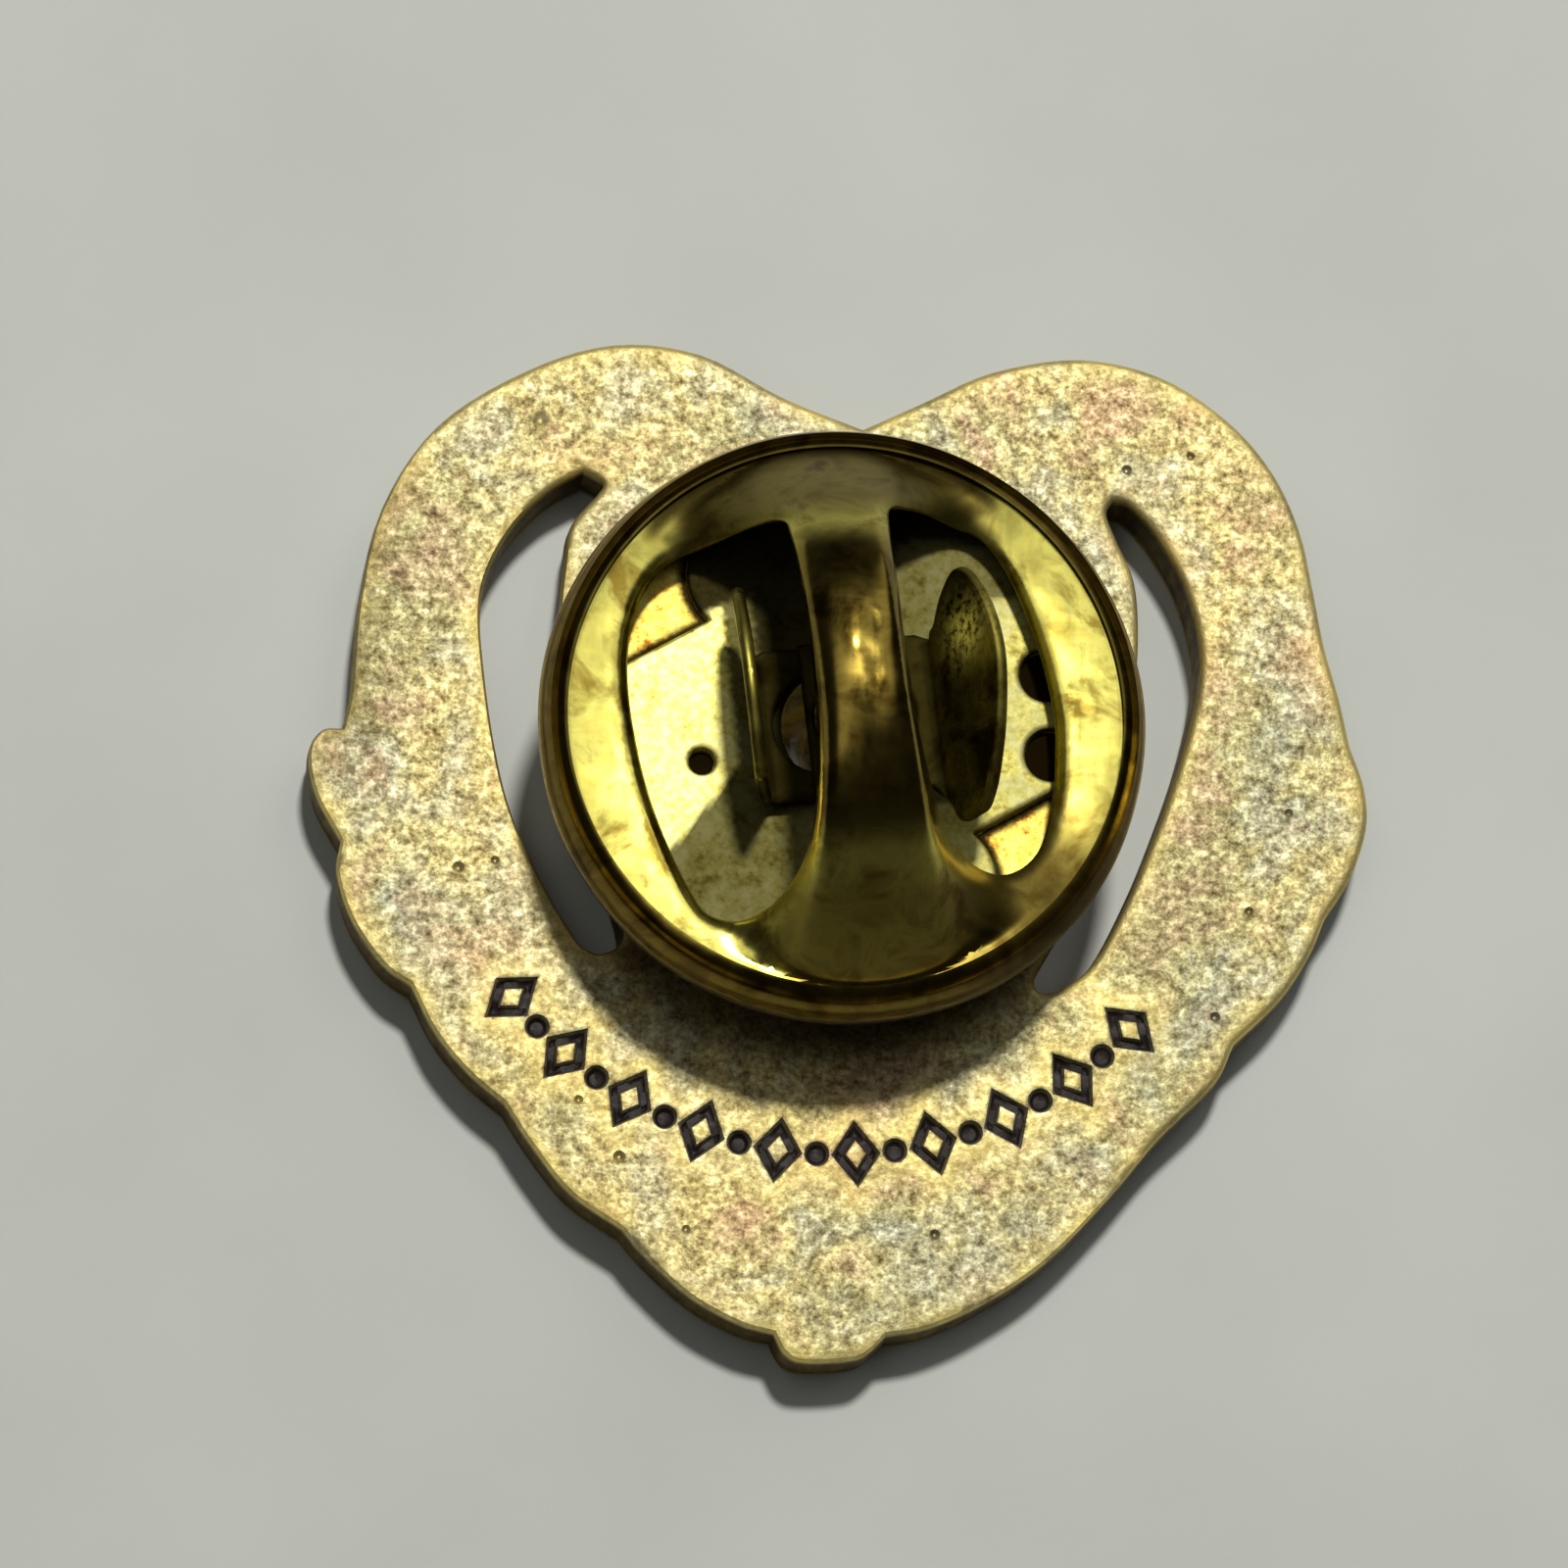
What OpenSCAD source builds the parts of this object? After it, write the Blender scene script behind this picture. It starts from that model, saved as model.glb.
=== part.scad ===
// Heart-shaped enamel badge lying on its enamelled front, with a soldered post on the back
// and a butterfly clutch pushed onto the post.
// Frame: +Z up out of the badge's back, origin on the post's axis in the plane of the front face.

/* [Badge] */
// Overall width of the heart
badge_w = 20.4; // [18:0.1:24]
// Thickness of the struck brass
badge_t = 1.5; // [1.2:0.1:2]
// Depth of the enamel cells in the front
cell_depth = 0.4; // [0.25:0.05:0.5]
// How far the enamel lies below the raised metal lines
enamel_sink = 0.1; // [0.05:0.01:0.15]
// Width of the raised metal lines
line_w = 0.3; // [0.2:0.05:0.4]
// Depth of the marks stamped into the back
stamp_depth = 0.18; // [0.1:0.02:0.3]
// Radius of the arc of stamped marks, about the post
stamp_r = 7.75; // [7.2:0.05:7.9]

/* [Post] */
// Radius of the post
post_r = 0.55; // [0.5:0.01:0.6]
// Length of the post above the badge's back
post_len = 6; // [5.5:0.1:8]
// Length of the pointed end
post_point = 1.4; // [1:0.1:2]
// Radius of the flat foot that is soldered down
foot_r = 1.1; // [0.9:0.05:1.3]
// Thickness of the foot
foot_t = 0.25; // [0.2:0.05:0.3]
// Depth of the groove that the jaws drop into
groove_depth = 0.16; // [0.16:0.01:0.2]

/* [Clutch] */
// Height of the clutch's underside above the badge's back
clutch_gap = 1.5; // [1.2:0.1:2]
// Outer radius of the rolled rim
clutch_r = 5.75; // [5.6:0.05:6]
// Overall height of the clutch
clutch_h = 5; // [4.6:0.1:5.4]
// Thickness of the pressed cap
cap_t = 0.3; // [0.25:0.01:0.32]
// Height of the cap's plate at the crease inside the rim
cap_plate_h = 1.72; // [1.68:0.01:1.8]
// Turn of the bridge from the badge's upright axis, anticlockwise
clutch_turn = 8; // [-20:1:20]
// Half the width of the bridge at its crown
bridge_half_w = 0.88; // [0.8:0.02:1]
// Half the length of each window along the bridge
window_half_len = 3.75; // [3.5:0.05:3.9]
// Reach of each window out from the bridge's centre line
window_reach = 3.95; // [3.7:0.05:4.1]
// Turn of the spring band from the badge's X axis, anticlockwise
spring_turn = 31; // [0:1:60]

/* [Wings] */
// Length of each wing along the bridge
wing_len = 4.6; // [4:0.1:5]
// Height of the wings' tops above the clutch's underside
wing_top = 3.6; // [3.2:0.1:3.8]
// Thickness of the wings and their jaw leaves
wing_t = 0.25; // [0.2:0.01:0.26]
// Outward lean of the left wing
left_lean = 6; // [0:1:12]
// Outward lean of the right wing
right_lean = 25; // [15:1:28]
// Radius of the jaw hole in each leaf
jaw_r = 0.95; // [0.9:0.01:1]

/* [Hidden] */
$fn = 96;
eps = 0.05;           // overlap that keeps cuts clear of faces
curve_steps = 5;      // straight pieces between two points of a smooth run
k = badge_w / 20.4;   // the outline below is drawn for a heart 20.4 wide

// The heart's edge, anticlockwise from the notch. Each run is smooth and meets the next at a corner.
heart_runs = [
    [[0.5, 6.62], [-1.1, 7.2], [-2.7, 7.97], [-4.4, 8.08], [-6.1, 7.45], [-7.75, 6.25],
     [-8.75, 4.55], [-9.12, 2.6], [-9.2, 0.9]],                            // left lobe
    [[-9.33, 0.14], [-9.72, 0.08], [-9.95, -0.35], [-9.8, -1.15]],         // rounded nub
    [[-9.27, -2.07], [-9.32, -2.7], [-9.0, -3.6], [-8.4, -4.42]],          // first lower scallop
    [[-7.83, -4.81], [-7.35, -5.7], [-6.7, -6.45]],
    [[-5.99, -7.02], [-5.45, -7.8], [-4.7, -8.68]],
    [[-3.7, -9.32], [-3.3, -9.77], [-2.4, -10.55], [-1.45, -11.04]],
    [[-0.79, -11.2], [-0.57, -11.57], [-0.2, -11.72], [0.7, -11.64], [1.05, -11.45]],  // stem tab
    [[1.33, -11.15], [2.1, -10.98], [3.1, -10.5], [4.3, -9.65], [5.5, -8.35], [6.45, -7.15],
     [7.5, -6.05]],                                                        // long lower right side
    [[7.87, -5.26], [8.75, -4.35], [9.31, -3.46]],
    [[9.61, -2.71], [10.1, -1.88], [10.4, -0.9], [10.36, -0.1]],           // right bulge
    [[10.07, 0.74], [9.85, 1.7], [9.56, 2.7], [9.32, 3.9], [9.05, 5.05], [8.5, 6.2],
     [7.6, 7.2], [6.3, 8.0], [4.7, 8.28], [3.0, 7.92], [1.7, 7.25]]        // right lobe
];
left_slot_runs = [
    [[-4.9, 5.5], [-5.56, 5.06], [-6.2, 4.35], [-6.66, 3.45], [-6.8, 2.6], [-6.68, 1.4],
     [-6.42, -0.1], [-6.05, -1.4], [-5.35, -2.85]],
    [[-4.71, -3.86], [-4.35, -4.05], [-3.98, -3.9], [-3.92, -3.45], [-4.3, -2.3], [-4.85, -0.9],
     [-5.18, 0.8], [-5.28, 2.4], [-5.2, 3.7], [-5.1, 4.4], [-4.62, 5.03], [-4.52, 5.28]]
];
right_slot_runs = [
    [[5.4, 5.44], [5.72, 5.36], [6.25, 4.8], [6.8, 3.85], [7.13, 2.7], [7.12, 1.75], [6.83, 0.4],
     [6.4, -0.95], [5.85, -2.4], [5.15, -3.8]],
    [[4.45, -4.4], [4.1, -4.4], [4.05, -4.05], [4.6, -3.0], [5.15, -1.7], [5.55, -0.3],
     [5.83, 1.2], [5.93, 2.6], [5.84, 3.8], [5.5, 4.6], [5.28, 5.15]]
];

// Front pattern: wreath leaves as [x, y, heading], drawn for the left side and mirrored
heart_axis_x = 0.25;
leaf_len = 2.35;
leaf_w = 1.35;
leaves = [[-1.5, 6.1, 155], [-4.0, 6.92, 182], [-6.35, 5.9, 222], [-7.8, 3.9, 252], [-7.98, 1.35, 272],
          [-7.85, -1.2, 280], [-7.15, -3.5, 295], [-5.75, -5.55, 312], [-4.1, -7.4, 318],
          [-2.2, -9.0, 322]];
leaf_tilt = 15;       // the leaves lean to one side of the wreath and the other in turn
berry_r = 0.42;
berries = [[0.25, 5.35], [0.25, -8.1], [0.25, -9.75], [-1.35, -7.2], [1.85, -7.2], [-3.4, -5.4],
           [3.9, -5.4]];
panel_at = [0.3, 0.5];
panel_r = 4.3;
heart_lobe_r = 1.35;  // of the enamelled heart in the middle
rib_count = 6;        // metal ribs that join the middle heart to the panel's edge

// Stamped border on the back
stamp_from = -140;
stamp_to = -41;
stamp_count = 10;
lozenge = [0.95, 1.3];
lozenge_island = 0.4; // share of a lozenge left standing in its middle
dot_r = 0.24;

// Clutch heights, from its underside
clutch_z = badge_t + clutch_gap;
rim_half_w = 0.62;
rim_t = 0.28;
base_z = 0.32;
base_t = 0.28;
base_r = 4.98;
post_hole_r = 1.15;
spring_z = base_z + base_t + 0.02;
spring_t = 0.22;
spring_half_w = 3;
spring_lobe_r = 1.25;
spring_lobe_at = 3.4;
spring_dimples = [[3.92, -0.97], [3.23, -2.36]];
spring_dimple_r = 0.5;
spring_pip = [-2.66, 0.66];
spring_pip_r = 0.25;
plate_dish = 0.14;    // fall of the cap's plate from its crease to its middle
crease_r = clutch_r - 0.5;
bridge_half_chord = 4.72;
bridge_rise = clutch_h - cap_plate_h;
bridge_outer_r = (pow(bridge_half_chord, 2) + pow(bridge_rise, 2)) / (2 * bridge_rise);
bridge_z = clutch_h - bridge_outer_r;
bridge_flare = 0.026; // growth of the bridge's half width with the square of the distance along it

// Wings: each has a flat jaw leaf, the left one below the right one
left_leaf_z = 0.94;
right_leaf_z = 1.24;
wing_root = 1.8;      // inner face of each wing at its leaf
squeeze = 0.38;       // travel of each wing, which centres its jaw hole on the post
leaf_far_end = 0.95;
leaf_half_w = 1.5;
groove_from = clutch_z + left_leaf_z - 0.05;
groove_to = clutch_z + right_leaf_z + wing_t + 0.05;

function catmull(a, b, c, d, t) =
    0.5 * (2 * b + (c - a) * t + (2 * a - 5 * b + 4 * c - d) * t * t + (3 * b - a - 3 * c + d) * t * t * t);

// Points of one smooth open run, without its last point
function run_points(p) =
    [for (i = [0 : len(p) - 2])
        let (before = i == 0 ? 2 * p[0] - p[1] : p[i - 1],
             after = i == len(p) - 2 ? 2 * p[i + 1] - p[i] : p[i + 2])
        for (s = [0 : curve_steps - 1]) catmull(before, p[i], p[i + 1], after, s / curve_steps)];

// A closed outline from runs, each of which ends where the next begins
function outline(runs) =
    [for (i = [0 : len(runs) - 1])
        each run_points(concat(runs[i], [runs[(i + 1) % len(runs)][0]]))];

function ellipse_arc(centre, radii, from, to, steps) =
    [for (i = [0 : steps])
        let (a = from + (to - from) * i / steps) centre + [radii.x * cos(a), radii.y * sin(a)]];

module heart_shape() scale(k) polygon(outline(heart_runs));

module slots() scale(k) {
    polygon(outline(left_slot_runs));
    polygon(outline(right_slot_runs));
}

// Both sides of the wreath, about the heart's axis
module both_sides() {
    children();
    translate([2 * heart_axis_x, 0]) mirror([1, 0]) children();
}

module leaf_shape() {
    bow_r = (pow(leaf_len / 2, 2) + pow(leaf_w / 2, 2)) / leaf_w;
    intersection_for (side = [-1, 1]) translate([0, side * (bow_r - leaf_w / 2)]) circle(bow_r);
}

// Every second leaf, from the first or from the second
module wreath(first) scale(k) both_sides()
    for (i = [first : 2 : len(leaves) - 1])
        translate([leaves[i].x, leaves[i].y])
            rotate(leaves[i][2] + (i % 2 == 0 ? leaf_tilt : -leaf_tilt)) leaf_shape();

module berry_shapes() scale(k) for (b = berries) translate(b) circle(berry_r, $fn = 48);

// The middle heart, grown by a margin
module middle_heart(margin) scale(k) translate(panel_at) {
    side = 2 * heart_lobe_r;
    translate([0, -1.45 * heart_lobe_r]) rotate(45) {
        translate([-margin, -margin]) square([side + 2 * margin, side + 2 * margin - heart_lobe_r]);
        translate([-margin, -margin]) square([side + 2 * margin - heart_lobe_r, side + 2 * margin]);
        translate([heart_lobe_r, side]) circle(heart_lobe_r + margin);
        translate([side, heart_lobe_r]) circle(heart_lobe_r + margin);
        square(side);
    }
}

module panel_fields() difference() {
    scale(k) translate(panel_at) circle(panel_r);
    middle_heart(line_w);
    scale(k) translate(panel_at) for (i = [0 : rib_count - 1])
        rotate(90 + i * 360 / rib_count) translate([0, -line_w / 2]) square([panel_r + 1, line_w]);
}

module cells() {
    wreath(0);
    wreath(1);
    berry_shapes();
    middle_heart(0);
    panel_fields();
}

module lozenge_shape(size) polygon([[size.x / 2, 0], [0, size.y / 2], [-size.x / 2, 0], [0, -size.y / 2]]);

// Lozenges with a standing middle, and a dot between each two
module stamped_border() for (i = [0 : 2 * stamp_count - 2]) {
    turn = stamp_from + (stamp_to - stamp_from) * i / (2 * stamp_count - 2);
    rotate(turn + 90) translate([0, -stamp_r])
        if (i % 2 == 0) difference() {
            lozenge_shape(lozenge);
            lozenge_shape(lozenge * lozenge_island);
        }
        else circle(dot_r, $fn = 32);
}

module badge_body() color("#c9b77a") difference() {
    linear_extrude(badge_t) difference() {
        heart_shape();
        slots();
    }
    translate([0, 0, -eps]) linear_extrude(cell_depth + eps) cells();
    translate([0, 0, badge_t - stamp_depth]) linear_extrude(stamp_depth + eps) stamped_border();
}

module enamel() translate([0, 0, enamel_sink]) linear_extrude(cell_depth - enamel_sink) children();

module heart_enamel() color("#a8242c") enamel() middle_heart(0);

module panel_enamel() color("#ece3c8") enamel() panel_fields();

module leaf_enamel_dark() color("#1f5c3a") enamel() wreath(0);

module leaf_enamel_light() color("#5f9a4a") enamel() wreath(1);

module berry_enamel() color("#c23a3a") enamel() berry_shapes();

module post() color("#b9b4a6") translate([0, 0, badge_t]) {
    cylinder(h = foot_t, r = foot_r);
    difference() {
        cylinder(h = post_len - post_point, r = post_r);
        translate([0, 0, groove_from - badge_t]) difference() {
            cylinder(h = groove_to - groove_from, r = post_r + eps);
            translate([0, 0, -eps])
                cylinder(h = groove_to - groove_from + 2 * eps, r = post_r - groove_depth);
        }
    }
    translate([0, 0, post_len - post_point]) cylinder(h = post_point, r1 = post_r, r2 = 0.05);
}

// A ring of solder round the foot and up the root of the post
module post_solder() color("#a9a593") translate([0, 0, badge_t]) rotate_extrude()
    polygon([[post_r, foot_t], [foot_r, foot_t], [foot_r, 0], [foot_r + 0.6, 0], [foot_r + 0.28, 0.1],
             [foot_r, foot_t + 0.03], [post_r + 0.22, foot_t + 0.07], [post_r, foot_t + 0.15]]);

module clutch_frame() translate([0, 0, clutch_z]) rotate(clutch_turn) children();

module clutch_base() color("#b39a4c") clutch_frame() translate([0, 0, base_z]) difference() {
    cylinder(h = base_t, r = base_r);
    translate([0, 0, -eps]) cylinder(h = base_t + 2 * eps, r = post_hole_r);
}

// The band's outline: a strip with round ends and a lobe on each long side
module spring_outline() difference() {
    union() {
        intersection() {
            circle(base_r);
            square([2 * base_r + 1, 2 * spring_half_w], center = true);
        }
        for (side = [-1, 1]) translate([0, side * spring_lobe_at]) circle(spring_lobe_r);
    }
    circle(post_hole_r);
    for (d = spring_dimples) translate(d) circle(spring_dimple_r);
    translate(spring_pip) circle(spring_pip_r);
}

module clutch_spring() color("#d8c865") translate([0, 0, clutch_z + spring_z]) rotate(spring_turn)
    linear_extrude(spring_t) spring_outline();

// Rolled rim and dished plate in one turned section
module cap_section() {
    rim_centre = [clutch_r - rim_half_w, cap_plate_h / 2];
    outer = [rim_half_w, cap_plate_h / 2];
    inner = outer - [rim_t, rim_t];
    crease_z = cap_plate_h - plate_dish / 2;
    polygon(concat(
        ellipse_arc(rim_centre, outer, 76, -110, 16),
        [[base_r - 0.35, 0], [base_r - 0.35, rim_t - 0.02]],
        ellipse_arc(rim_centre, inner, -100, 70, 12),
        [[crease_r - 0.1, crease_z - cap_t], [0, cap_plate_h - plate_dish - cap_t],
         [0, cap_plate_h - plate_dish], [crease_r - 0.06, crease_z]]));
}

// One window, to the right of the bridge: straight along the bridge, bowed outside, round corners
module window() {
    l = window_half_len;
    r = window_reach;
    bowed_side = [[r - 1.75, -l], [r - 1, 0.3 - l], [r - 0.55, 0.95 - l], [r - 0.15, -1.5], [r, 0],
                  [r - 0.15, 1.5], [r - 0.55, l - 0.95], [r - 1, l - 0.3], [r - 1.75, l]];
    polygon(outline([concat([[0, -l]], bowed_side), [[0, l], [0, eps - l]]]));
}

// The bridge from above: narrowest at its crown, wider towards its roots
module bridge_plan() {
    steps = 24;
    side = [for (i = [0 : steps])
        let (v = bridge_half_chord * (2 * i / steps - 1)) [bridge_half_w + bridge_flare * v * v, v]];
    polygon(concat(side, [for (i = [steps : -1 : 0]) [-side[i].x, side[i].y]]));
}

module bridge() intersection() {
    translate([0, 0, bridge_z]) rotate([0, 90, 0]) difference() {
        cylinder(h = 6, r = bridge_outer_r, center = true, $fn = 128);
        cylinder(h = 7, r = bridge_outer_r - cap_t, center = true, $fn = 128);
    }
    translate([0, 0, cap_plate_h - plate_dish - cap_t + 0.1]) linear_extrude(clutch_h) bridge_plan();
}

module clutch_cap() color("#8f8238") clutch_frame() {
    difference() {
        rotate_extrude() cap_section();
        linear_extrude(clutch_h) {
            window();
            mirror([1, 0]) window();
            square([2 * bridge_half_w, 2 * (bridge_half_chord - 0.3)], center = true);
        }
    }
    bridge();
}

// A wing on the right side: jaw leaf reaching past the post, and a round-topped tab that leans out
module wing(leaf_z, lean) {
    rise = (wing_top - leaf_z) / cos(lean);
    translate([0, 0, leaf_z]) {
        linear_extrude(wing_t) difference() {
            translate([-leaf_far_end, -leaf_half_w])
                square([wing_root + leaf_far_end + eps, 2 * leaf_half_w]);
            translate([squeeze, 0]) circle(jaw_r);
        }
        translate([wing_root, 0, 0]) rotate([0, lean, 0]) rotate([90, 0, 90]) linear_extrude(wing_t)
            intersection() {
                translate([-wing_len / 2, 0]) square([wing_len, rise]);
                translate([0, rise - 3.1]) circle(3.1);
            }
    }
}

module right_wing() color("#6d6226") clutch_frame() wing(right_leaf_z, right_lean);

module left_wing() color("#857a3a") clutch_frame() rotate(180) wing(left_leaf_z, left_lean);

badge_body();
heart_enamel();
panel_enamel();
leaf_enamel_dark();
leaf_enamel_light();
berry_enamel();
post();
post_solder();
clutch_base();
clutch_spring();
clutch_cap();
left_wing();
right_wing();
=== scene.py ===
"""Looks for the heart-shaped enamel badge with its butterfly clutch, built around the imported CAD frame."""

import math

import bpy
import numpy as np
from mathutils import Matrix, Vector, noise
from mathutils.geometry import delaunay_2d_cdt
from mathutils.kdtree import KDTree


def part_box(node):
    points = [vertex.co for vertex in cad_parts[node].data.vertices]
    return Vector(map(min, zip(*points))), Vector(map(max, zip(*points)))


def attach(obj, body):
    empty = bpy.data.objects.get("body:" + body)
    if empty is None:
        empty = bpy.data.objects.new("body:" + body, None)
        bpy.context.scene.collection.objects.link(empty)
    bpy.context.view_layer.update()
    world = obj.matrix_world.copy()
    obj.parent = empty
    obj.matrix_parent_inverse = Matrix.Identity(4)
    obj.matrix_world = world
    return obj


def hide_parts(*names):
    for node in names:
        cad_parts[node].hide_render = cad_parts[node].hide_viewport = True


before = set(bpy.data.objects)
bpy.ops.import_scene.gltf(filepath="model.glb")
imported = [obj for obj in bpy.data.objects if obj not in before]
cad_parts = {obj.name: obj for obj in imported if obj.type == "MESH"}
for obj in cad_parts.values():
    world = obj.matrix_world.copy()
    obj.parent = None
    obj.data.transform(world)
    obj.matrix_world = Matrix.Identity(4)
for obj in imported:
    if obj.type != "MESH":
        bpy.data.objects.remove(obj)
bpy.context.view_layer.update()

MM = 0.001
CLUTCH_TURN = math.radians(8)  # of the bridge from the badge's Y axis


# ---------------------------------------------------------------- flat shapes, in millimetres


def box_mm(node):
    low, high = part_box(node)
    return np.array(low) / MM, np.array(high) / MM


def loops_at(node, height, gap=0.002):
    """Outlines of a CAD node's flat faces at one height, largest first."""
    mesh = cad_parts[node].data
    points = np.array([v.co for v in mesh.vertices]) / MM
    keys = [tuple(k) for k in np.round(points, 4)]
    first = {}
    same = [first.setdefault(k, i) for i, k in enumerate(keys)]
    follows = {}
    for face in mesh.polygons:
        corners = list(face.vertices)
        if max(abs(points[c][2] - height) for c in corners) < gap:
            for a, b in zip(corners, corners[1:] + corners[:1]):
                a, b = same[a], same[b]
                if follows.get(b) and a in follows[b]:
                    follows[b].remove(a)
                else:
                    follows.setdefault(a, []).append(b)
    loops = []
    for start in list(follows):
        while follows.get(start):
            loop, at = [], start
            while follows.get(at):
                loop.append(at)
                at = follows[at].pop()
            loops.append(points[loop][:, :2])
    return sorted((x for x in loops if len(x) > 2), key=lambda x: -abs(area(x)))


def area(loop):
    x, y = loop.T
    return float(np.sum(x * np.roll(y, -1) - y * np.roll(x, -1)) / 2)


def turned(loop, anticlockwise=True):
    return loop if (area(loop) > 0) == anticlockwise else loop[::-1]


def dense(loop, step):
    """The loop with its straight pieces cut so that none is longer than step."""
    ends = np.roll(loop, -1, 0)
    counts = np.maximum(1, np.ceil(np.linalg.norm(ends - loop, axis=1) / step).astype(int))
    which = np.repeat(np.arange(len(loop)), counts)
    share = np.arange(len(which)) - np.repeat(np.cumsum(counts) - counts, counts)
    return loop[which] + (ends - loop)[which] * (share / counts[which])[:, None]


def smooth_loop(points, steps=6):
    """A closed smooth curve through the points."""
    p = np.array(points, float)
    a, c, d = np.roll(p, 1, 0), np.roll(p, -1, 0), np.roll(p, -2, 0)
    t = np.arange(steps)[None, :, None] / steps
    a, b, c, d = (x[:, None] for x in (a, p, c, d))
    curve = 2 * b + (c - a) * t + (2 * a - 5 * b + 4 * c - d) * t**2 + (3 * b - a - 3 * c + d) * t**3
    return (curve / 2).reshape(-1, 2)


def segments(loops):
    starts = np.concatenate(loops)
    ends = np.concatenate([np.roll(x, -1, 0) for x in loops])
    return starts, ends


class Near:
    """Tells how far points are from the nearest of some loops."""

    def __init__(self, loops, step=0.02):
        fine = np.concatenate([dense(x, step) for x in loops])
        self.tree = KDTree(len(fine))
        for i, (x, y) in enumerate(fine.tolist()):
            self.tree.insert((x, y, 0), i)
        self.tree.balance()

    def __call__(self, points):
        find = self.tree.find
        return np.array([find((x, y, 0))[2] for x, y in points.tolist()])


def inside(points, loops):
    """Whether each point is inside an odd number of the loops."""
    a, b = segments(loops)
    out = np.empty(len(points), bool)
    for i in range(0, len(points), 3000):
        x, y = points[i : i + 3000, 0, None], points[i : i + 3000, 1, None]
        crossed = (a[:, 1] > y) != (b[:, 1] > y)
        rise = np.where(b[:, 1] == a[:, 1], 1, b[:, 1] - a[:, 1])
        crossed &= x < (b[:, 0] - a[:, 0]) * (y - a[:, 1]) / rise + a[:, 0]
        out[i : i + 3000] = crossed.sum(1) % 2 == 1
    return out


def hex_grid(low, high, step):
    xs = np.arange(low[0], high[0] + step, step)
    ys = np.arange(low[1], high[1] + step, step * 0.866)
    x, y = np.meshgrid(xs, ys)
    x[1::2] += step / 2
    return np.stack([x.ravel(), y.ravel()], 1)


def rings(loops, near, insets, step):
    """Points at small distances either side of the loops."""
    out = []
    for loop in loops:
        fine = dense(loop, step)
        along = np.roll(fine, -1, 0) - np.roll(fine, 1, 0)
        across = np.stack([-along[:, 1], along[:, 0]], 1)
        across /= np.maximum(np.linalg.norm(across, axis=1, keepdims=True), 1e-9)
        for inset in insets:
            for side in (-1, 1):
                ring = fine + across * side * inset
                out.append(ring[near(ring) > 0.93 * inset])
    return np.concatenate(out)


class Sheet:
    """A triangulated region: inside the first loop and outside the holes, with marks as inner lines."""

    def __init__(self, outline, holes=(), marks=(), step=0.1, grid=0.15, insets=(0.05, 0.12, 0.22),
                 mark_insets=(0.06, 0.12), extra=None):
        self.shape = [outline, *holes]
        self.edges = [dense(turned(outline), step)] + [dense(turned(h, False), step) for h in holes]
        self.marks = [dense(m, step) for m in marks]
        self.near_edges = Near(self.edges)
        self.near_marks = Near(self.marks) if self.marks else None
        filling = [rings(self.edges, self.near_edges, insets, step)]
        if extra is not None:
            filling.append(extra)
        cells = hex_grid(outline.min(0), outline.max(0), grid)
        clear = self.near_edges(cells) > max(insets) + grid * 0.4
        if self.marks:
            filling.append(rings(self.marks, self.near_marks, mark_insets, step))
            clear &= self.near_marks(cells) > max(mark_insets) + grid * 0.4
        filling = np.concatenate([*filling, cells[clear]])
        filling = filling[inside(filling, self.shape)]
        if self.marks:
            filling = filling[self.near_marks(filling) > 0.02]
        lines = self.edges + self.marks
        links, count = [], 0
        for line in lines:
            n = len(line)
            links += [(count + i, count + (i + 1) % n) for i in range(n)]
            count += n
        given = [Vector(p) for p in np.concatenate(lines + [filling])]
        made = delaunay_2d_cdt(given, links, [], 0, 1e-6)
        self.points = np.array([v[:] for v in made[0]], float)
        faces = np.array(made[2])
        self.faces = faces[inside(self.points[faces].mean(1), self.shape)]
        place = {}
        for new, olds in enumerate(made[3]):
            for old in olds:
                place[old] = new
        self.rims, count = [], 0
        for line in self.edges:
            self.rims.append([place[count + i] for i in range(len(line))])
            count += len(line)
        self.edge = self.near_edges(self.points)

    def mark_depth(self, run):
        """0 outside the marks and on their lines, rising to 1 inside them over a distance of run."""
        within = inside(self.points, self.marks)
        gap = self.near_marks(self.points)
        return np.where(within, smooth(gap / run), 0.0), np.where(within, 0.0, gap)


def smooth(t):
    t = np.clip(t, 0, 1)
    return t * t * (3 - 2 * t)


def rough(points, size, seed=0.0):
    """Smooth noise from -1 to 1, with features of about that size."""
    shift = Vector((seed * 17.3, seed * 5.1, seed * 9.7))
    if points.shape[1] == 2:
        points = np.column_stack([points, np.zeros(len(points))])
    return np.array([noise.noise(Vector(p) / size + shift) for p in points])


TOP, WALL, BOTTOM = 0, 1, 2


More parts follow.
